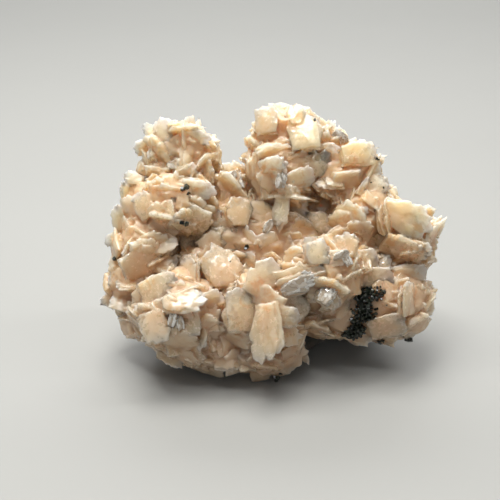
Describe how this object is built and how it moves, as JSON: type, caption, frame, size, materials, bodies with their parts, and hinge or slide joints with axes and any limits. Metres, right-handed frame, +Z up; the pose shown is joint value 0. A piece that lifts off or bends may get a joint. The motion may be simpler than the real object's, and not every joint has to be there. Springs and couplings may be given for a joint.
{
  "type": "mineral specimen",
  "caption": "Natural stilbite cluster: peach-cream bladed crystals grown together over dark basalt, with a small patch of dark crystals and a flat underside to rest on.",
  "frame": {"origin": "on the floor under the middle of the bounding box, with the specimen resting on its flat underside", "axes": "+Z up; +X to the viewer's right in the picture, along the longest side; -Y towards the viewer, the front with the large crystal faces"},
  "size_m": [0.1551, 0.0898, 0.1123],
  "materials": {
    "stilbite": null,
    "basalt": null,
    "dark_crystals": null
  },
  "bodies": {
    "root": {"stilbite_crystals": "stilbite", "basalt_matrix": "basalt", "dark_crystal_patch": "dark_crystals"}
  },
  "joints": []
}
